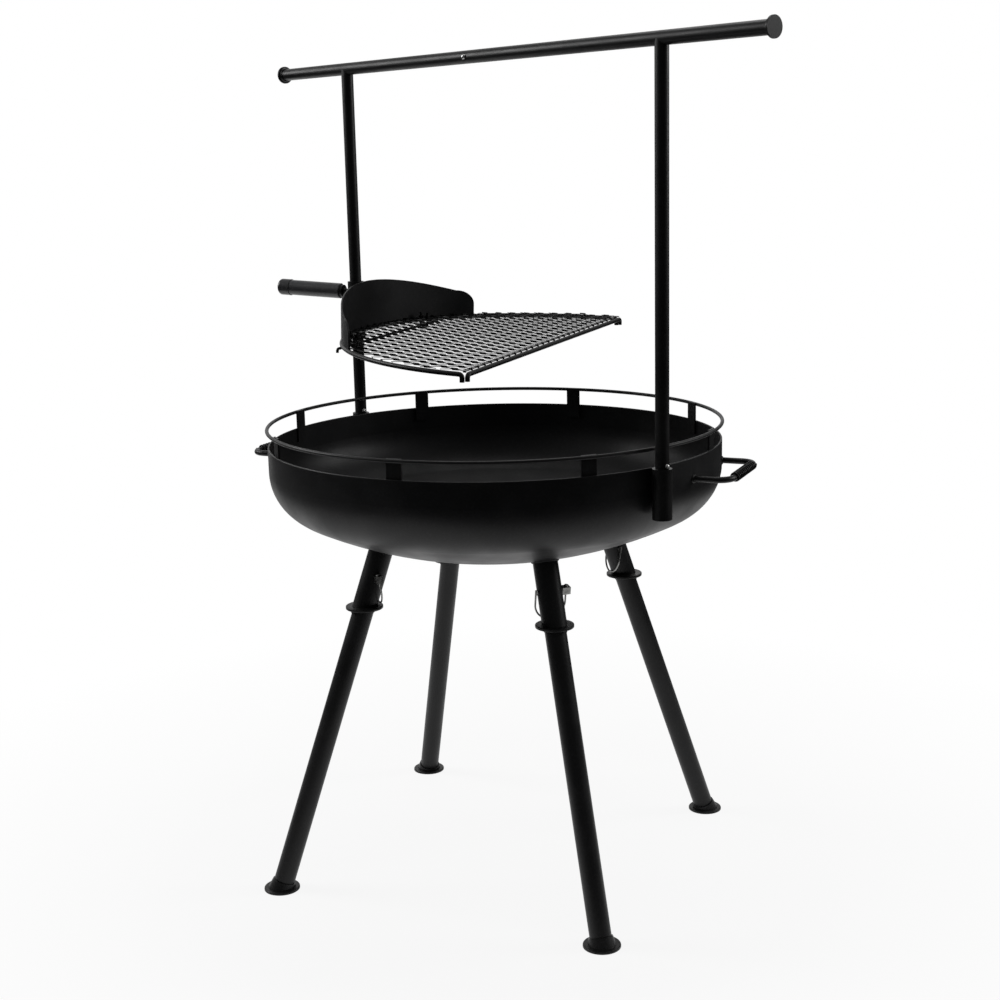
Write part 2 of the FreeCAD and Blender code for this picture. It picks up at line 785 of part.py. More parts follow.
def make_arc_rod():
    """Half-moon rim rod, with its ends bent down as feet behind the front rod."""
    radius = grate_radius
    slack = rod_bend_radius * (1 - math.sqrt(0.5))
    ends = []
    for side in (-radius, radius):
        ends.append([
            Vector(rim_foot_reach, side, -foot_drop),
            Vector(rim_foot_reach, side, -rod_bend_radius),
            Vector(rim_foot_reach - slack, side, -slack),
            Vector(grate_reach, side, 0),
        ])
    near, far = ends
    path = [
        Part.LineSegment(near[0], near[1]).toShape(),
        arc(near[1], near[2], near[3]),
        arc(near[3], Vector(grate_reach - radius, 0, 0), far[3]),
        arc(far[3], far[2], far[1]),
        Part.LineSegment(far[1], far[0]).toShape(),
    ]
    return on_grate(round_rod(path, grate_rod_diameter))


def make_straight_rod(diameter, bend, reach, foot, level, drop):
    """Rod across the grate at a distance from the post, with both ends bent down as feet."""
    slack = bend * (1 - math.sqrt(0.5))
    half = foot - bend
    path = [
        Part.LineSegment(Vector(reach, -foot, -drop), Vector(reach, -foot, level - bend)).toShape(),
        arc(Vector(reach, -foot, level - bend), Vector(reach, slack - foot, level - slack),
            Vector(reach, -half, level)),
        Part.LineSegment(Vector(reach, -half, level), Vector(reach, half, level)).toShape(),
        arc(Vector(reach, half, level), Vector(reach, foot - slack, level - slack),
            Vector(reach, foot, level - bend)),
        Part.LineSegment(Vector(reach, foot, level - bend), Vector(reach, foot, -drop)).toShape(),
    ]
    return on_grate(round_rod(path, diameter))


def make_front_rod():
    """Rod along the grate's straight edge."""
    return make_straight_rod(
        grate_rod_diameter, rod_bend_radius, front_rod_reach, front_rod_foot, 0.0, front_foot_drop
    )


def make_cross_rod():
    """Thinner rod under the rim rod near the post, which carries the mesh."""
    return make_straight_rod(
        cross_rod_diameter, cross_rod_bend_radius, cross_rod_reach, cross_rod_foot, cross_rod_level,
        cross_foot_drop
    )


def half_moon(radius, chord, height):
    """Half-moon outline of a radius, cut by a straight edge at a distance from the post."""
    inset = chord - grate_reach
    half = math.sqrt(radius ** 2 - inset ** 2)
    near = Vector(chord, -half, height)
    far = Vector(chord, half, height)
    back = Vector(grate_reach - radius, 0, height)
    return Part.Wire([arc(near, back, far), Part.LineSegment(far, near).toShape()])


def mesh_holes(inside):
    """Staggered diamond outlines, long way out from the post, trimmed to the mesh's clear area."""
    half_long = mesh_long_way / 2
    half_short = mesh_short_way / 2
    side_reach = half_long * half_short / math.hypot(half_long, half_short)
    share = 1 - mesh_strand / (2 * side_reach)
    columns = int(front_rod_reach / half_long) + 1
    rows = int(grate_radius / mesh_short_way) + 1
    holes = []
    for column in range(columns):
        shift = mesh_side_shift + (half_short if column % 2 else 0.0)
        u = front_rod_reach - column * half_long
        for row in range(-rows, rows + 1):
            v = row * mesh_short_way + shift
            corners = [
                Vector(u - half_long * share, v, mesh_bottom),
                Vector(u, v - half_short * share, mesh_bottom),
                Vector(u + half_long * share, v, mesh_bottom),
                Vector(u, v + half_short * share, mesh_bottom),
            ]
            diamond = Part.Face(Part.Wire(polyline(corners)))
            clear = diamond.common(inside)
            holes += [face.OuterWire for face in clear.Faces if face.Area > mesh_least_hole]
    return holes


def make_mesh():
    """Expanded metal sheet: one holed face, thickened."""
    inside = Part.Face(half_moon(mesh_edge - mesh_border, mesh_chord - mesh_border, mesh_bottom))
    holes = mesh_holes(inside)
    print("mesh gaps", len(holes))
    outline = half_moon(mesh_edge, mesh_chord, mesh_bottom)
    sheet = Part.Face([outline] + holes).extrude(UP * mesh_thickness)
    hole = clamp_wire_diameter + 2 * clamp_hole_fit
    for leg in [leg for place in clamp_places for leg in clamp_legs(place)]:
        sheet = sheet.cut(cylinder(hole, leg, leg + UP * clamp_top))
    return on_grate(sheet)


def plate_ring(radius, low, high):
    """Disc of the grate's own centre between two heights."""
    return Part.makeCylinder(radius, high - low, Vector(grate_reach, 0, low))


def make_wind_plate():
    """Curved plate standing on the rim rod, with an arched top and rounded corners."""
    low = grate_rod_diameter / 2
    shoulder = low + plate_height - plate_crown_drop
    half = plate_half_width
    corner = plate_corner_radius
    slack = corner * (1 - math.sqrt(0.5))
    crown = Vector(0, 0, low + plate_height)
    outline = [
        Part.LineSegment(Vector(0, half, low), Vector(0, -half, low)).toShape(),
        Part.LineSegment(Vector(0, -half, low), Vector(0, -half, shoulder - corner)).toShape(),
        arc(Vector(0, -half, shoulder - corner), Vector(0, slack - half, shoulder - slack),
            Vector(0, corner - half, shoulder)),
        arc(Vector(0, corner - half, shoulder), crown, Vector(0, half - corner, shoulder)),
        arc(Vector(0, half - corner, shoulder), Vector(0, half - slack, shoulder - slack),
            Vector(0, half, shoulder - corner)),
        Part.LineSegment(Vector(0, half, shoulder - corner), Vector(0, half, low)).toShape(),
    ]
    stencil = Part.Face(Part.Wire(outline)).extrude(Vector(grate_reach, 0, 0))
    top = low + plate_height + plate_thickness
    shell = plate_ring(grate_radius + plate_thickness / 2, low, top)
    return on_grate(shell.cut(plate_ring(grate_radius - plate_thickness / 2, low, top)).common(stencil))


def make_bracket():
    """Block between the sleeve and the wind plate, shaped to both."""
    half = bracket_width / 2
    block = box(Vector(0, -half, bracket_bottom), Vector(sleeve_diameter, half, bracket_top))
    face = plate_ring(grate_radius + plate_thickness / 2, 0, plate_height)
    return on_grate(block.cut(face)).cut(sleeve_core())


def clamp_legs(place):
    """Level points on the axes of a clamp's two legs, which straddle the cross rod at a place along it."""
    return [Vector(cross_rod_reach + side * clamp_bend_radius, place, 0) for side in (-1, 1)]


def make_clamps():
    """U-bolts hung round the cross rod, with their legs up through the mesh."""
    clamps = []
    for place in clamp_places:
        near, far = clamp_legs(place)
        lift = UP * clamp_bend_height
        path = [
            Part.LineSegment(near + UP * clamp_top, near + lift).toShape(),
            arc(near + lift, Vector(cross_rod_reach, place, clamp_bottom), far + lift),
            Part.LineSegment(far + lift, far + UP * clamp_top).toShape(),
        ]
        clamps.append(on_grate(round_rod(path, clamp_wire_diameter)))
    return Part.makeCompound(clamps)


def make_clamp_nuts():
    """Flanged nut on each leg of the clamps, down on the mesh."""
    nuts = []
    for leg in [leg for place in clamp_places for leg in clamp_legs(place)]:
        seat = leg + UP * mesh_top
        flange = Part.makeCylinder(nut_flange_diameter / 2, nut_flange_thickness, seat)
        bore = cylinder(clamp_wire_diameter + 2 * nut_bore_fit, leg, leg + UP * clamp_top)
        nuts.append(on_grate(hexagon(nut_width, nut_height, seat).fuse(flange).removeSplitter().cut(bore)))
    return Part.makeCompound(nuts)


def hexagon(width, height, foot):
    """Hexagonal prism of a width across flats, standing on a point."""
    corner = width / math.sqrt(3)
    points = [foot + polar(corner, 60 * i) for i in range(6)]
    return Part.Face(Part.Wire(polyline(points))).extrude(UP * height)


def lift_turned(outline):
    """Solid turned about the lifting handle's axis, with distances measured out from the post."""
    solid = turned(outline)
    solid.rotate(Vector(), Vector(0, 1, 0), -90)
    solid.translate(Vector(0, 0, lift_height))
    return on_grate(solid)


def make_stud():
    """Stud from the sleeve into the lifting handle's grip."""
    end = lift_inner + lift_ferrule_length + lift_stud_engagement
    radius = lift_stud_diameter / 2
    outline = [Vector(0, 0, 0), Vector(radius, 0, 0), Vector(radius, 0, end), Vector(0, 0, end)]
    return lift_turned(polyline(outline)).cut(sleeve_core())


def make_ferrule():
    """Ring on the stud at the grip's inner end."""
    inner = lift_stud_diameter / 2
    outer = lift_ferrule_diameter / 2
    end = lift_inner + lift_ferrule_length
    outline = [
        Vector(inner, 0, lift_inner),
        Vector(outer, 0, lift_inner),
        Vector(outer, 0, end),
        Vector(inner, 0, end),
    ]
    return lift_turned(polyline(outline))


def make_grip():
    """Round grip on the stud, bored to take it."""
    start = lift_inner + lift_ferrule_length
    end = lift_tip - lift_cap_length
    bore_end = start + lift_stud_engagement
    inner = lift_stud_diameter / 2
    outer = lift_diameter / 2
    edge = (outer - lift_ferrule_diameter / 2) / 2
    outline = [
        Vector(inner, 0, start),
        Vector(outer - edge, 0, start),
        Vector(outer, 0, start + edge),
        Vector(outer, 0, end),
        Vector(0, 0, end),
        Vector(0, 0, bore_end),
        Vector(inner, 0, bore_end),
    ]
    return lift_turned(polyline(outline))


def make_grip_cap():
    """Rounded cap on the grip's outer end."""
    start = lift_tip - lift_cap_length
    outer = lift_cap_diameter / 2
    corner = lift_cap_round
    slack = corner * (1 - math.sqrt(0.5))
    outline = [
        Part.LineSegment(Vector(0, 0, start), Vector(outer, 0, start)).toShape(),
        Part.LineSegment(Vector(outer, 0, start), Vector(outer, 0, lift_tip - corner)).toShape(),
        arc(Vector(outer, 0, lift_tip - corner), Vector(outer - slack, 0, lift_tip - slack),
            Vector(outer - corner, 0, lift_tip)),
        Part.LineSegment(Vector(outer - corner, 0, lift_tip), Vector(0, 0, lift_tip)).toShape(),
        Part.LineSegment(Vector(0, 0, lift_tip), Vector(0, 0, start)).toShape(),
    ]
    return lift_turned(outline)


def build_bowl(plug):
    """Bowl with its guard ring, tabs and two wound handles."""
    save("fire_bowl", make_bowl())
    save("guard_ring", make_guard_ring())
    save("ring_tabs", make_tabs())
    handle = make_side_handle(plug)
    coil = make_coil()
    for side, turn in (("right", 0), ("left", 180)):
        save("bowl_handle_" + side, about_z(handle, fitting_angle + turn))
        save("handle_coil_" + side, about_z(coil, fitting_angle + turn))


def build_legs(plug):
    """Four legs, each with its socket, collar, foot, lock pin and bail."""
    for index in range(leg_count):
        number = str(index + 1)
        save("leg_socket_" + number, make_leg_socket(index, plug))
        save("leg_tube_" + number, make_leg_tube(index))
        save("leg_collar_" + number, make_collar(index))
        save("leg_foot_" + number, make_foot(index))
        save("lock_pin_" + number, make_lock_pin(index))
        save("lock_bail_" + number, make_bail(index))


def build_frame(plug):
    """Two posts in their sockets, and the crossbar that joins them."""
    rivets = []
    for side, turn in (("right", 0), ("left", 180)):
        save("post_socket_" + side, about_z(make_post_socket(plug), turn))
        save("post_" + side, about_z(make_post(), turn))
        save("post_stub_" + side, about_z(make_stub(), turn))
        save("bar_end_cap_" + side, about_z(make_end_cap(), turn))
        rivets.append(about_z(make_stop_rivet(), turn))
    save("post_stop_rivets", Part.makeCompound(rivets))
    save("crossbar_left", make_left_bar())
    save("crossbar_right", make_right_bar())
    save("snap_button", make_button())
    save("button_spring", make_button_spring())


def build_grill():
    """Sliding and swinging carriage with the half-moon grate."""
    save("sleeve_bush", make_bush())
    save("grill_sleeve", make_sleeve())
    save("plate_bracket", make_bracket())
    save("wind_plate", make_wind_plate())
    save("grate_rim_rod", make_arc_rod())
    save("grate_front_rod", make_front_rod())
    save("grate_cross_rod", make_cross_rod())
    save("grate_mesh", make_mesh())
    save("mesh_clamps", make_clamps())
    save("clamp_nuts", make_clamp_nuts())
    save("lift_stud", make_stud())
    save("lift_ferrule", make_ferrule())
    save("lift_grip", make_grip())
    save("lift_grip_cap", make_grip_cap())


os.makedirs("parts", exist_ok=True)
bowl_plug = make_bowl_plug()
build_bowl(bowl_plug)
build_legs(bowl_plug)
build_frame(bowl_plug)
build_grill()
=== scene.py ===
"""Looks of a fire pit grill: finishes, expanded-metal grate, leaf spring, weld beads, studio and camera.

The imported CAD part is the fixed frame. This script dresses its nodes, models the
fine pieces that the solids leave plain, and sets up the photograph's view.
Everything is in metres: +Z up, +X along the crossbar from the grate's post.
"""

import json
import logging
import math
from collections.abc import Iterable, Sequence
from dataclasses import dataclass, field
from enum import Enum

import bpy
from mathutils import Matrix, Vector


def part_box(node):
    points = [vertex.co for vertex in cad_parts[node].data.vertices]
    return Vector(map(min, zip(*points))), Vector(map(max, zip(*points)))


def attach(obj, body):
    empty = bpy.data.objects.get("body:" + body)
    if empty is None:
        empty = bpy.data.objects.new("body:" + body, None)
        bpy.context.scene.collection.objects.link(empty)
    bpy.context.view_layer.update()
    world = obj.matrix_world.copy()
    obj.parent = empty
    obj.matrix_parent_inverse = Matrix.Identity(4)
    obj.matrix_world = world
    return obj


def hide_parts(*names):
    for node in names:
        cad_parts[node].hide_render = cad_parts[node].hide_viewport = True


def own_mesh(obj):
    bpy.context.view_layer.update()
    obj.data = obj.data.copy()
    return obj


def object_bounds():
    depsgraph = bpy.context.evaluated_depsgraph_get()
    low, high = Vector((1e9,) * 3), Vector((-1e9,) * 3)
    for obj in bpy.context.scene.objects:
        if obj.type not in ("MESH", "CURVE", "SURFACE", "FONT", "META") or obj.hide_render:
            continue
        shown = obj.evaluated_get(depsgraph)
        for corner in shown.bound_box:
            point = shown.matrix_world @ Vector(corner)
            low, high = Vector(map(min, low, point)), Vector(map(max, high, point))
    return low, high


LOG = logging.getLogger("fire_pit_grill")

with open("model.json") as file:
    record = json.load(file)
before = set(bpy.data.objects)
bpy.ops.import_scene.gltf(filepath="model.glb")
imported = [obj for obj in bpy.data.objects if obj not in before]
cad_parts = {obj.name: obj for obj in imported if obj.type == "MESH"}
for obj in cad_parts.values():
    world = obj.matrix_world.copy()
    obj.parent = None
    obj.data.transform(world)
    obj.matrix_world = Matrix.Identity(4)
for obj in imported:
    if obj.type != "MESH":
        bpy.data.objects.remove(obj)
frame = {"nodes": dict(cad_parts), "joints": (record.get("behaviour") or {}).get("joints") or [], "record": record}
CAD_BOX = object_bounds()

Colour = tuple[float, float, float]
Triple = tuple[float, float, float]
Span = tuple[float, float]
Socket = bpy.types.NodeSocket

UNIT: Span = (0.0, 1.0)
UP: Triple = (0.0, 0.0, 1.0)
WHITE = (1.0, 1.0, 1.0, 1.0)


class Body(Enum):
    """CAD bodies that new pieces ride on."""

    STAND = "stand"
    GRILL = "grill"


class Slot(Enum):
    """Material slots of the record."""

    BOWL = "bowl_coating"
    FRAME = "frame_coating"
    GRATE = "grate_coating"
    GRIP = "grip_coating"
    ZINC = "zinc_wire"
    BRIGHT = "bright_steel"
    SPRING = "spring_steel"
    CAP = "gloss_cap"


class Wiring:
    """Node tree, with short calls for the nodes that the looks need."""

    def __init__(self, tree: bpy.types.NodeTree, place: str) -> None:
        """Take up a tree.

        Args:
            tree: The node tree.
            place: Name of the coordinates that its nodes read.
        """
        self.tree = tree
        self.nodes = tree.nodes
        self.place = self.nodes.new("ShaderNodeTexCoord").outputs[place]

    def link(self, source: Socket, target: Socket) -> None:
        """Join two sockets."""
        self.tree.links.new(source, target)

    def remap(self, value: Socket, source: Span, target: Span) -> Socket:
        """Map a stretch of values onto another.

        Args:
            value: The value to map.
            source: Start and end of the stretch.
            target: Results at the start and at the end.

        Returns:
            The mapped value, held inside the new stretch.
        """
        node = self.nodes.new("ShaderNodeMapRange")
        ends = ("From Min", "From Max", "To Min", "To Max")
        for name, number in zip(ends, (*source, *target)):
            node.inputs[name].default_value = number
        self.link(value, node.inputs["Value"])
        return node.outputs["Result"]

    def combine(self, operation: str, first: Socket, second: Socket) -> Socket:
        """Combine two values into one that is held between 0 and 1.

        Args:
            operation: Name of the sum.
            first: The first value.
            second: The second value.

        Returns:
            The result.
        """
        node = self.nodes.new("ShaderNodeMath")
        node.operation = operation
        node.use_clamp = True
        self.link(first, node.inputs[0])
        self.link(second, node.inputs[1])
        return node.outputs["Value"]

    def along(self, way: Triple) -> Socket:
        """How far the coordinates reach along a direction.

        Args:
            way: The direction.

        Returns:
            The reach.
        """
        node = self.nodes.new("ShaderNodeVectorMath")
        node.operation = "DOT_PRODUCT"
        node.inputs[1].default_value = way
        self.link(self.place, node.inputs[0])
        return node.outputs["Value"]

    def rays(self) -> tuple[Socket, Socket]:
        """Tests for the rays that can see the white backdrop.

        Returns:
            1 for the camera's own rays, and 1 for rays off or through a glossy surface.
        """
        path = self.nodes.new("ShaderNodeLightPath").outputs
        mirrored = self.combine("ADD", path["Is Glossy Ray"], path["Is Transmission Ray"])
        return path["Is Camera Ray"], mirrored

    def mix(self, share: Socket, first: Socket, second: Socket) -> Socket:
        """Mix two shaders.

        Args:
            share: How much of the second shader shows.
            first: The shader at 0.
            second: The shader at 1.

        Returns:
            The mixed shader.
        """
        node = self.nodes.new("ShaderNodeMixShader")
        for source, target in zip((share, first, second), node.inputs):
            self.link(source, target)
        return node.outputs["Shader"]


class MaterialWiring(Wiring):
    """Node tree of one new material."""

    def __init__(self, name: str) -> None:
        """Start a material that holds only its shader and output.

        Args:
            name: The material's name.
        """
        self.material = bpy.data.materials.new(name)
        self.material.use_nodes = True
        super().__init__(self.material.node_tree, "Object")
        self.shader = self.nodes["Principled BSDF"]

    def set(self, **values: float) -> None:
        """Set values on the shader's own sockets, with spaces as underscores."""
        for name, value in values.items():
            self.shader.inputs[name.replace("_", " ")].default_value = value

    def stretched(self, scale: Triple) -> Socket:
        """Object coordinates stretched along the axes.

        Args:
            scale: Factor along each axis.

        Returns:
            The stretched vector.
        """
        mapping = self.nodes.new("ShaderNodeMapping")
        mapping.inputs["Scale"].default_value = scale
        self.link(self.place, mapping.inputs["Vector"])
        return mapping.outputs["Vector"]

    def noise(self, size: float, detail: float, place: Socket | None = None) -> Socket:
        """Noise with grains of a size.

        Args:
            size: Width of a grain in metres.
            detail: Number of finer layers.
            place: Coordinates to read, or None for Object coordinates.

        Returns:
            The noise's value.
        """
        node = self.nodes.new("ShaderNodeTexNoise")
        node.inputs["Scale"].default_value = 1.0 / size
        node.inputs["Detail"].default_value = detail
        self.link(place or self.place, node.inputs["Vector"])
        return node.outputs["Fac"]

    def tint(self, share: Socket, first: Colour, second: Colour) -> None:
        """Colour the shader between two colours.

        Args:
            share: How much of the second colour shows.
            first: Linear colour at 0.
            second: Linear colour at 1.
        """
        ramp = self.nodes.new("ShaderNodeValToRGB")
        ramp.color_ramp.elements[0].color = (*first, 1.0)
        ramp.color_ramp.elements[1].color = (*second, 1.0)
        self.link(share, ramp.inputs["Fac"])
        self.link(ramp.outputs["Color"], self.shader.inputs["Base Color"])

    def roughen(self, pattern: Socket, span: Span, roughness: Span) -> None:
        """Run the shader's roughness from its least to its greatest over a span of a pattern."""
        self.link(self.remap(pattern, span, roughness), self.shader.inputs["Roughness"])

    def bump(self, height: Socket, depth: float) -> None:
        """Raise a fine relief on the surface.

        Args:
            height: Height of the surface, from 0 to 1.
            depth: Depth of the relief in metres.
        """
        node = self.nodes.new("ShaderNodeBump")
        node.inputs["Distance"].default_value = depth
        self.link(height, node.inputs["Height"])
        self.link(node.outputs["Normal"], self.shader.inputs["Normal"])


@dataclass(frozen=True)
class PowderCoat:
    """Satin powder coat on steel: orange peel, cloudy gloss and a little pale dust."""

    name: str
    colour: Colour
    dust: Colour
    roughness: float
    specular: float
    gloss_spread: float = 0.07
    peel_size: float = 0.0022
    peel_detail: float = 2.0
    peel_depth: float = 0.00012
    cloud_size: float = 0.07
    cloud_detail: float = 5.0
    cloud_span: Span = (0.3, 0.7)
    dust_size: float = 0.004
    dust_detail: float = 6.0
    dust_span: Span = (0.5, 0.85)

    def material(self) -> bpy.types.Material:
        """Build the finish's material.

        Returns:
            The new material.
        """
        wiring = MaterialWiring(self.name)
        peel = wiring.noise(self.peel_size, self.peel_detail)
        cloud = wiring.noise(self.cloud_size, self.cloud_detail)
        specks = wiring.noise(self.dust_size, self.dust_detail)
        spread = (self.roughness - self.gloss_spread, self.roughness + self.gloss_spread)
        wiring.roughen(cloud, self.cloud_span, spread)
        wiring.tint(wiring.remap(specks, self.dust_span, UNIT), self.colour, self.dust)
        wiring.bump(peel, self.peel_depth)
        wiring.set(Specular_IOR_Level=self.specular)
        return wiring.material


@dataclass(frozen=True)
class PlatedSteel:
    """Bright plated steel with drawn streaks and a cloudy tarnish."""

    name: str
    colour: Colour
    tarnish: Colour
    roughness: float
    smoother: float = 0.08
    rougher: float = 0.1
    streaks: Triple = (1.0, 1.0, 6.0)
    streak_size: float = 0.0025
    streak_detail: float = 4.0
    streak_span: Span = (0.3, 0.7)
    streak_depth: float = 0.00003
    cloud_size: float = 0.006
    cloud_detail: float = 4.0
    cloud_span: Span = (0.35, 0.75)

    def material(self) -> bpy.types.Material:
        """Build the finish's material.

        Returns:
            The new material.
        """
        wiring = MaterialWiring(self.name)
        streak = wiring.noise(self.streak_size, self.streak_detail, wiring.stretched(self.streaks))
        cloud = wiring.noise(self.cloud_size, self.cloud_detail)
        wiring.tint(wiring.remap(cloud, self.cloud_span, UNIT), self.colour, self.tarnish)
        spread = (self.roughness - self.smoother, self.roughness + self.rougher)
        wiring.roughen(streak, self.streak_span, spread)
        wiring.bump(streak, self.streak_depth)
        wiring.set(Metallic=1.0)
        return wiring.material


@dataclass(frozen=True)
class GlossMoulding:
    """Glossy moulded cap with faint sink marks and handling haze."""

    name: str
    colour: Colour
    haze: Colour
    roughness: float
    specular: float = 0.5
    sink_size: float = 0.02
    sink_detail: float = 2.0
    sink_depth: float = 0.0004
    haze_size: float = 0.008
    haze_detail: float = 5.0
    haze_span: Span = (0.45, 0.8)
    haze_roughness: float = 0.08
    gloss_span: Span = (0.3, 0.7)

    def material(self) -> bpy.types.Material:
        """Build the finish's material.

        Returns:
            The new material.
        """
        wiring = MaterialWiring(self.name)
        sink = wiring.noise(self.sink_size, self.sink_detail)
        haze = wiring.noise(self.haze_size, self.haze_detail)
        wiring.tint(wiring.remap(haze, self.haze_span, UNIT), self.colour, self.haze)
        wiring.roughen(haze, self.gloss_span, (self.roughness, self.roughness + self.haze_roughness))
        wiring.bump(sink, self.sink_depth)
        wiring.set(Specular_IOR_Level=self.specular)
        return wiring.material


Finish = PowderCoat | PlatedSteel | GlossMoulding

SLOT_FINISHES: dict[Slot, Finish] = {
    Slot.BOWL: PowderCoat(
        "bowl_powder_coat",
        colour=(0.0044, 0.0044, 0.0049),
        dust=(0.012, 0.012, 0.013),
        roughness=0.44,
        specular=0.26,
    ),
    Slot.FRAME: PowderCoat(
        "frame_powder_coat",
        colour=(0.0042, 0.0042, 0.0046),
        dust=(0.013, 0.013, 0.014),
        roughness=0.42,
        specular=0.28,
    ),
    Slot.GRATE: PowderCoat(
        "grate_high_heat_coat",
        colour=(0.0042, 0.0042, 0.0045),
        dust=(0.014, 0.014, 0.014),
        roughness=0.40,
        specular=0.26,
    ),
    Slot.GRIP: PowderCoat(
        "grip_satin_coat",
        colour=(0.046, 0.046, 0.050),
        dust=(0.085, 0.085, 0.090),
        roughness=0.30,
        specular=0.60,
    ),
    Slot.ZINC: PlatedSteel(
        "zinc_plating", colour=(0.36, 0.36, 0.35), tarnish=(0.19, 0.19, 0.185), roughness=0.28
    ),
    Slot.BRIGHT: PlatedSteel(
        "nickel_plating", colour=(0.66, 0.66, 0.66), tarnish=(0.46, 0.46, 0.45), roughness=0.24
    ),
    Slot.SPRING: PlatedSteel(
        "blued_spring_steel", colour=(0.20, 0.21, 0.24), tarnish=(0.11, 0.11, 0.13), roughness=0.34
    ),
    Slot.CAP: GlossMoulding(
        "gloss_cap_moulding", colour=(0.042, 0.042, 0.044), haze=(0.062, 0.062, 0.064), roughness=0.18
    ),
}


@dataclass
class FinishRack:
    """Every finish's material, made once and shared by the pieces that wear it."""

    made: dict[Slot, bpy.types.Material] = field(default_factory=dict)

    def material(self, slot: Slot) -> bpy.types.Material:
        """Material for one of the record's slots.

        Args:
            slot: The slot.

        Returns:
            The shared material.
        """
        if slot not in self.made:
            self.made[slot] = SLOT_FINISHES[slot].material()
        return self.made[slot]

    def dress(self, piece: bpy.types.Object, slot: Slot) -> None:
        """Put a slot's finish on a piece, in place of what it had."""
        piece.data.materials.clear()
        piece.data.materials.append(self.material(slot))

    def dress_solids(self) -> None:
        """Dress every CAD node in the finish of its slot."""
        for subpart in frame["record"]["subparts"]:
            slot = Slot(subpart["material_slot"])
            self.dress(frame["nodes"][subpart["node"]], slot)
            LOG.info("dressed %s in %s", subpart["node"], slot.value)

    def finish_piece(self, piece: bpy.types.Object, name: str, slot: Slot, body: Body) -> None:
        """Name, dress and seat a new piece.

        Args:
            piece: The modelled piece.
            name: Its name.
            slot: The slot it takes its finish from.
            body: The body it rides on.
        """
        piece.name = name
        self.dress(piece, slot)
        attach(piece, body.value)
        LOG.info("made %s with %d faces", name, len(piece.data.polygons))


def alone(piece: bpy.types.Object) -> None:
    """Make a piece the only one selected, and the active one.

    Args:
        piece: The piece.
    """
    bpy.ops.object.select_all(action="DESELECT")
    piece.select_set(True)
    bpy.context.view_layer.objects.active = piece


def new_curve(name: str, points: Sequence[Vector], closed: bool) -> bpy.types.Curve:
    """Start a curve of straight runs.

    Args:
        name: The curve's name.
        points: Its corners.
        closed: Whether it runs back to its start.

    Returns:
        The curve.
    """
    curve = bpy.data.curves.new(name, "CURVE")
    curve.dimensions = "3D"
    spline = curve.splines.new("POLY")
    spline.points.add(len(points) - 1)
    spline.use_cyclic_u = closed
    for corner, point in zip(spline.points, points):
        corner.co = (*point, 1.0)
    return curve


def mesh_from_curve(curve: bpy.types.Curve) -> bpy.types.Object:
    """Turn a curve into a mesh piece of the scene.

    Args:
        curve: The curve.

    Returns:
        The piece, alone in the selection.
    """
    piece = bpy.data.objects.new(curve.name, curve)
    bpy.context.scene.collection.objects.link(piece)
    alone(piece)
    bpy.ops.object.convert(target="MESH")
    return bpy.context.active_object


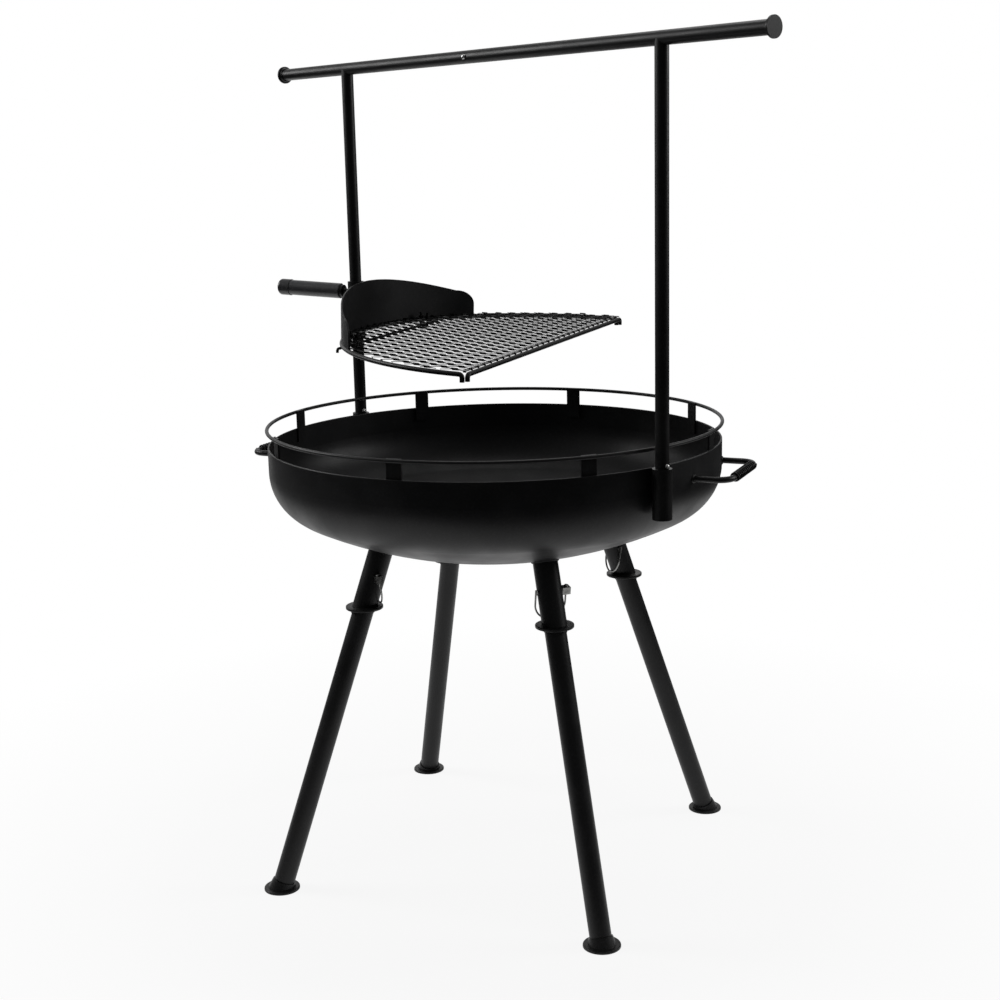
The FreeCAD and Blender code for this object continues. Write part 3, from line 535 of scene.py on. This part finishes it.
@dataclass
class ExpandedGrate:
    """Half-moon of expanded metal on the swinging rods.

    It is modelled level, with X out from the post, and then hung as the grate hangs.
    Its strands run out from the post, and all of them lean the same way.
    """

    swing: float = math.radians(26.7)
    droop: float = math.radians(2.9)
    tilt: float = math.radians(1.35)
    radius: float = 0.35535
    reach: float = 0.376
    front: float = 0.38835
    long_way: float = 0.0495
    short_way: float = 0.0248
    side_shift: float = -0.0096
    strand_width: float = 0.0030
    strand_thickness: float = 0.0011
    strand_lean: float = math.radians(8.0)
    bond_length: float = 0.0114
    bond_width: float = 0.0056
    bond_lean: float = math.radians(46.0)
    border: float = 0.008
    sheet_height: float = 0.0052
    cut_planes: int = 60

    def hang(self) -> Matrix:
        """Place of the level grate in the frame.

        Returns:
            The grate's matrix.
        """
        joint = next(j for j in frame["joints"] if j["name"] == "grill_swing")
        turn = Matrix.Rotation(self.swing, 4, "Z") @ Matrix.Rotation(self.droop, 4, "Y")
        return Matrix.Translation(Vector(joint["pos_m"])) @ turn @ Matrix.Rotation(self.tilt, 4, "X")

    def add_bar(self, middle: Vector, heading: float, lean: float, size: Triple) -> bpy.types.Object:
        """Add one straight bar of the mesh.

        Args:
            middle: The bar's middle.
            heading: Its turn from the X axis.
            lean: How far its far side dips.
            size: Its length, width and thickness.

        Returns:
            The bar.
        """
        turn = (-lean, 0.0, heading)
        bpy.ops.object.select_all(action="DESELECT")
        bpy.ops.mesh.primitive_cube_add(size=1.0, location=middle, rotation=turn, scale=size)
        bpy.ops.object.transform_apply(location=True, rotation=True, scale=True)
        return bpy.context.active_object

    def add_cell(self) -> bpy.types.Object:
        """Add one cell of the mesh, four strands and two bonds, as one piece.

        Returns:
            The cell, with its first bond at the origin.
        """
        run = Vector((self.long_way / 2, self.short_way / 2))
        strand = (run.length, self.strand_width, self.strand_thickness)
        bond = (self.bond_length, self.bond_width, self.strand_thickness)
        level = Vector((0.0, 0.0, self.sheet_height))
        slant = math.atan2(run.y, run.x)
        bars = []
        for along in (0.5, 1.5):
            for side in (-0.5, 0.5):
                middle = Vector((along * run.x, side * run.y, 0.0)) + level
                heading = slant if (along < 1.0) == (side > 0.0) else -slant
                bars.append(self.add_bar(middle, heading, self.strand_lean, strand))
        for middle in (Vector((0.0, 0.0, 0.0)), Vector((run.x, run.y, 0.0))):
            bars.append(self.add_bar(middle + level, 0.0, self.bond_lean, bond))
        alone(bars[0])
        for bar in bars[1:]:
            bar.select_set(True)
        bpy.ops.object.join()
        return bpy.context.active_object

    def spread(self, cell: bpy.types.Object) -> None:
        """Repeat the cell over the half-moon's box.

        Args:
            cell: The cell, which becomes the sheet.
        """
        rows = math.ceil(self.front / self.long_way) + 1
        columns = 2 * math.ceil(self.radius / self.short_way) + 3
        for count, step in ((rows, (self.long_way, 0.0, 0.0)), (columns, (0.0, self.short_way, 0.0))):
            array = cell.modifiers.new("repeat", "ARRAY")
            array.use_relative_offset = False
            array.use_constant_offset = True
            array.constant_offset_displace = step
            array.count = count
        alone(cell)
        for modifier in [m.name for m in cell.modifiers]:
            bpy.ops.object.modifier_apply(modifier=modifier)
        side = self.side_shift - (columns - 1) / 2 * self.short_way
        cell.location = (self.front - (rows - 1) * self.long_way, side, 0.0)
        bpy.ops.object.transform_apply(location=True, rotation=False, scale=False)

    def trim(self, sheet: bpy.types.Object) -> None:
        """Cut the sheet back to the half-moon, plane by plane.

        Args:
            sheet: The sheet.
        """
        alone(sheet)
        centre = Vector((self.reach, 0.0, 0.0))
        cuts = [(Vector((self.front, 0.0, 0.0)), Vector((1.0, 0.0, 0.0)))]
        for i in range(self.cut_planes):
            angle = math.pi / 2 + math.pi * (i + 0.5) / self.cut_planes
            way = Vector((math.cos(angle), math.sin(angle), 0.0))
            cuts.append((centre + way * self.radius, way))
        bpy.ops.object.mode_set(mode="EDIT")
        for point, way in cuts:
            bpy.ops.mesh.select_all(action="SELECT")
            bpy.ops.mesh.bisect(plane_co=point, plane_no=way, use_fill=True, clear_outer=True)
        bpy.ops.object.mode_set(mode="OBJECT")

    def add_border(self, sheet: bpy.types.Object) -> None:
        """Close the sheet's straight edge with its plain border.

        Args:
            sheet: The trimmed sheet.
        """
        half = math.sqrt(self.radius**2 - (self.front - self.reach) ** 2)
        middle = Vector((self.front - self.border / 2, 0.0, self.sheet_height))
        border = self.add_bar(middle, math.pi / 2, 0.0, (2 * half, self.border, self.strand_thickness))
        alone(sheet)
        border.select_set(True)
        bpy.ops.object.join()

    def build(self, rack: FinishRack) -> None:
        """Model the expanded metal and put it in place of the plain sheet.

        Args:
            rack: The finishes.
        """
        sheet = self.add_cell()
        self.spread(sheet)
        self.trim(sheet)
        self.add_border(sheet)
        sheet.matrix_world = self.hang()
        alone(sheet)
        bpy.ops.object.transform_apply(location=True, rotation=True, scale=True)
        rack.finish_piece(sheet, "expanded_grate", Slot.GRATE, Body.GRILL)
        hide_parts("grate_mesh")


@dataclass
class SnapSpring:
    """Bent leaf spring behind the crossbar's snap button, which flattens as the button goes in."""

    thickness: float = 0.0008
    pad_length: float = 0.011
    button_travel: float = 0.0035
    slack: float = 0.0001

    def midline(self, low: Vector, high: Vector) -> list[Vector]:
        """Middle of the strip.

        Args:
            low: Lowest corner of the spring's box.
            high: Highest corner of the spring's box.

        Returns:
            Points from the button's pad round the fold to the end on the back wall.
        """
        half = self.thickness / 2
        pad = low.y + half + self.slack
        level = (low.z + high.z) / 2
        return [
            Vector((high.x, pad, level)),
            Vector((high.x - self.pad_length, pad, level)),
            Vector((low.x + half, high.y - 3 * half, level)),
            Vector((low.x + 3 * half, high.y - half, level)),
            Vector((high.x, high.y - half, level)),
        ]

    def build(self, rack: FinishRack) -> None:
        """Model the bent spring, with its far end along the back wall.

        Args:
            rack: The finishes.
        """
        low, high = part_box("button_spring")
        curve = new_curve("snap_leaf_spring", self.midline(low, high), closed=False)
        curve.twist_mode = "Z_UP"
        curve.extrude = (high.z - low.z) / 2
        strip = mesh_from_curve(curve)
        gauge = strip.modifiers.new("gauge", "SOLIDIFY")
        gauge.thickness = self.thickness
        gauge.offset = 0.0
        gauge.use_even_offset = True
        bpy.ops.object.modifier_apply(modifier=gauge.name)
        rack.finish_piece(strip, "snap_leaf_spring", Slot.SPRING, Body.STAND)
        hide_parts("button_spring")
        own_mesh(strip)


@dataclass
class WeldBeads:
    """Rippled weld beads where bars and tubes meet the bowl."""

    bead_radius: float = 0.0021
    ripple_length: float = 0.0026
    ripple_share: float = 0.16
    least_ripples: int = 6
    bead_sides: int = 3
    leg_count: int = 4
    first_leg_angle: float = math.radians(-17.7)
    leg_splay: float = math.radians(19.2)
    foot_circle: float = 0.4063
    socket_radius: float = 0.02025
    cast_height: float = 0.40
    handle_angle: float = math.radians(27.3)
    handle_bar_radius: float = 0.005
    handle_half_width: float = 0.081
    handle_height: float = 0.707
    bowl_radius: float = 0.381
    around: int = 40

    def on_bowl(self, start: Vector, way: Vector) -> Vector:
        """Where a ray meets the bowl.

        Args:
            start: A point outside the bowl.
            way: The ray's direction.

        Returns:
            The first point on the bowl.
        """
        hit, place, _, _ = frame["nodes"]["fire_bowl"].ray_cast(start, way)
        if not hit:
            raise ValueError("a weld's ray misses the bowl")
        return place

    def seam(self, start: Vector, way: Vector, radius: float) -> list[Vector]:
        """Closed line where a round bar meets the bowl.

        Args:
            start: A point on the bar's axis, outside the bowl.
            way: The bar's direction towards the bowl.
            radius: The bar's radius.

        Returns:
            Points along the seam.
        """
        side = way.orthogonal().normalized()
        other = way.cross(side)
        points = []
        for i in range(self.around):
            turn = 2 * math.pi * i / self.around
            rim = start + (side * math.cos(turn) + other * math.sin(turn)) * radius
            points.append(self.on_bowl(rim, way))
        return points

    @staticmethod
    def point_along(seam: list[Vector], share: float) -> Vector:
        """Point part of the way round a seam.

        Args:
            seam: Points along the seam.
            share: How far round, from 0 to 1.

        Returns:
            The point.
        """
        place = share * len(seam)
        first = int(place)
        return seam[first % len(seam)].lerp(seam[(first + 1) % len(seam)], place - first)

    def lay(self, name: str, seam: list[Vector], rack: FinishRack) -> None:
        """Lay one closed bead along a seam, thin and thick by turns.

        Args:
            name: The bead's name.
            seam: Points along the seam.
            rack: The finishes.
        """
        length = sum((b - a).length for a, b in zip(seam, seam[1:] + seam[:1]))
        steps = 2 * max(self.least_ripples, round(length / self.ripple_length))
        curve = new_curve(name, [self.point_along(seam, i / steps) for i in range(steps)], closed=True)
        curve.bevel_depth = self.bead_radius
        curve.bevel_resolution = self.bead_sides
        for i, point in enumerate(curve.splines[0].points):
            point.radius = 1.0 + self.ripple_share * (1 if i % 2 else -1)
        bead = mesh_from_curve(curve)
        bpy.ops.object.shade_smooth()
        rack.finish_piece(bead, name, Slot.BOWL, Body.STAND)

    def build(self, rack: FinishRack) -> None:
        """Weld the leg sockets and the handles to the bowl.

        Args:
            rack: The finishes.
        """
        rise = Vector((-math.sin(self.leg_splay), 0.0, math.cos(self.leg_splay)))
        foot = Vector((self.foot_circle, 0.0, 0.0))
        low = foot + rise * (self.cast_height / rise.z)
        for i in range(self.leg_count):
            turn = Matrix.Rotation(self.first_leg_angle + i * 2 * math.pi / self.leg_count, 3, "Z")
            self.lay(f"socket_weld_{i + 1}", self.seam(turn @ low, turn @ rise, self.socket_radius), rack)
        reach = self.bowl_radius + self.handle_bar_radius
        for name, half_turn in (("right", 0.0), ("left", math.pi)):
            turn = Matrix.Rotation(self.handle_angle + half_turn, 3, "Z")
            inwards = turn @ Vector((-1.0, 0.0, 0.0))
            for end, side in (("near", -1), ("far", 1)):
                start = Vector((reach, side * self.handle_half_width, self.handle_height))
                seam = self.seam(turn @ start, inwards, self.handle_bar_radius)
                self.lay(f"handle_weld_{name}_{end}", seam, rack)


@dataclass(frozen=True)
class SoftBox:
    """Square soft box."""

    name: str
    place: Triple
    size: float
    power: float

    def hang(self, aim: Vector) -> None:
        """Hang the soft box.

        Args:
            aim: The point it faces.
        """
        data = bpy.data.lights.new(self.name, "AREA")
        data.size = self.size
        data.energy = self.power
        lamp = bpy.data.objects.new(self.name, data)
        lamp.location = self.place
        lamp.rotation_euler = (aim - Vector(self.place)).to_track_quat("-Z", "Y").to_euler()
        bpy.context.scene.collection.objects.link(lamp)


@dataclass
class Studio:
    """Dark room with a strip of white paper under and behind the object, soft boxes and the camera."""

    camera_azimuth: float = math.radians(50.8894)
    camera_distance: float = 2.670085
    camera_height: float = 1.204054
    camera_yaw: float = math.radians(-0.1346)
    camera_pitch: float = math.radians(-12.085)
    camera_roll: float = math.radians(-1.3)
    focal_pixels: float = 1600.986
    frame_pixels: float = 1000.0
    sensor_width: float = 36.0
    sight: float = 160.0
    floor_radius: float = 40.0
    floor_corners: int = 96
    floor_roughness: float = 0.9
    shadow_core: float = 0.56
    shadow_radius: float = 1.4
    shadow_share: float = 0.11
    horizon_light: float = 0.04
    zenith_light: float = 0.28
    sweep_way: Triple = (-0.88, 0.475, 0.0)
    sweep_edge: float = 0.65
    sweep_softness: float = 0.3
    paper_front: float = 0.65
    paper_half_width: float = 1.1
    paper_fade: float = 0.5
    paper_colour: Colour = (0.86, 0.86, 0.86)
    room_colour: Colour = (0.06, 0.06, 0.06)
    soft_boxes: tuple[SoftBox, ...] = (
        SoftBox("soft_box_left", place=(-2.6, -1.9, 2.4), size=1.4, power=55.0),
        SoftBox("soft_box_top", place=(-0.6, 0.8, 3.4), size=2.0, power=24.0),
        SoftBox("soft_box_right", place=(1.6, 2.6, 1.9), size=1.2, power=30.0),
    )

    def set_camera(self) -> None:
        """Stand the camera where the photograph was taken."""
        azimuth = self.camera_azimuth
        place = Vector((math.sin(azimuth), -math.cos(azimuth), 0.0)) * self.camera_distance
        place.z = self.camera_height
        heading = azimuth + self.camera_yaw
        level = Vector((-math.sin(heading), math.cos(heading), 0.0))
        ahead = level * math.cos(self.camera_pitch) + Vector(UP) * math.sin(self.camera_pitch)
        right = ahead.cross(Vector(UP)).normalized()
        above = right.cross(ahead)
        turned_right = right * math.cos(self.camera_roll) + above * math.sin(self.camera_roll)
        turned_above = above * math.cos(self.camera_roll) - right * math.sin(self.camera_roll)
        axes = Matrix((turned_right, turned_above, -ahead)).transposed().to_4x4()
        data = bpy.data.cameras.new("photo_camera")
        data.sensor_width = self.sensor_width
        data.lens = self.focal_pixels / self.frame_pixels * self.sensor_width
        data.clip_end = self.sight
        camera = bpy.data.objects.new("photo_camera", data)
        camera.matrix_world = Matrix.Translation(place) @ axes
        bpy.context.scene.collection.objects.link(camera)
        bpy.context.scene.camera = camera

    def set_world(self) -> None:
        """Light the room from above, with a white backdrop behind the object."""
        world = bpy.data.worlds.new("studio_room")
        bpy.context.scene.world = world
        world.use_nodes = True
        wiring = Wiring(world.node_tree, "Generated")
        room = wiring.nodes["Background"]
        backdrop = wiring.nodes.new("ShaderNodeBackground")
        for background in (room, backdrop):
            background.inputs["Color"].default_value = WHITE
        light = wiring.remap(wiring.along(UP), UNIT, (self.horizon_light, self.zenith_light))
        wiring.link(light, room.inputs["Strength"])
        sweep_span = (self.sweep_edge, self.sweep_edge + self.sweep_softness)
        behind = wiring.remap(wiring.along(self.sweep_way), sweep_span, UNIT)
        direct, mirrored = wiring.rays()
        seen = wiring.combine("MAXIMUM", direct, wiring.combine("MULTIPLY", mirrored, behind))
        shader = wiring.mix(seen, room.outputs["Background"], backdrop.outputs["Background"])
        wiring.link(shader, wiring.nodes["World Output"].inputs["Surface"])

    def paper_share(self, wiring: MaterialWiring) -> Socket:
        """Share of the floor that the white paper covers: a strip under the object and away behind it.

        Args:
            wiring: The floor's node tree.

        Returns:
            1 on the paper and 0 on the room's own floor.
        """
        behind_x, behind_y, _ = self.sweep_way
        edges = (
            ((behind_x, behind_y, 0.0), self.paper_front),
            ((behind_y, -behind_x, 0.0), self.paper_half_width),
            ((-behind_y, behind_x, 0.0), self.paper_half_width),
        )
        front, left, right = (
            wiring.remap(wiring.along(way), (-edge - self.paper_fade, -edge), UNIT) for way, edge in edges
        )
        return wiring.combine("MULTIPLY", front, wiring.combine("MULTIPLY", left, right))

    def lay_floor(self) -> None:
        """Lay the white paper and the dark floor in front of it, which keep the shadow round the feet."""
        bpy.ops.object.select_all(action="DESELECT")
        bpy.ops.mesh.primitive_circle_add(
            vertices=self.floor_corners, radius=self.floor_radius, fill_type="NGON"
        )
        floor = bpy.context.active_object
        floor.name = "studio_floor"
        wiring = MaterialWiring("studio_floor_white")
        wiring.set(Roughness=self.floor_roughness, Specular_IOR_Level=0.0)
        paper = self.paper_share(wiring)
        wiring.tint(paper, self.room_colour, self.paper_colour)
        white = wiring.nodes.new("ShaderNodeEmission")
        distance = wiring.nodes.new("ShaderNodeVectorMath")
        distance.operation = "LENGTH"
        wiring.link(wiring.place, distance.inputs[0])
        shadow_span = (self.shadow_core, self.shadow_radius)
        white_share = wiring.remap(distance.outputs["Value"], shadow_span, (1.0 - self.shadow_share, 1.0))
        direct, mirrored = wiring.rays()
        watched = wiring.combine("ADD", direct, wiring.combine("MULTIPLY", mirrored, paper))
        share = wiring.combine("MULTIPLY", watched, white_share)
        shader = wiring.mix(share, wiring.shader.outputs["BSDF"], white.outputs["Emission"])
        wiring.link(shader, wiring.nodes["Material Output"].inputs["Surface"])
        floor.data.materials.append(wiring.material)

    def build(self) -> None:
        """Set up the whole studio."""
        bpy.context.scene.view_settings.view_transform = "Standard"
        self.set_camera()
        self.set_world()
        self.lay_floor()
        middle = (CAD_BOX[0] + CAD_BOX[1]) / 2
        for soft_box in self.soft_boxes:
            soft_box.hang(middle)


def main() -> None:
    """Build the looks in order."""
    logging.basicConfig(level=logging.INFO, format="%(name)s: %(message)s")
    rack = FinishRack()
    rack.dress_solids()
    ExpandedGrate().build(rack)
    SnapSpring().build(rack)
    WeldBeads().build(rack)
    Studio().build()


if __name__ == "__main__":
    main()
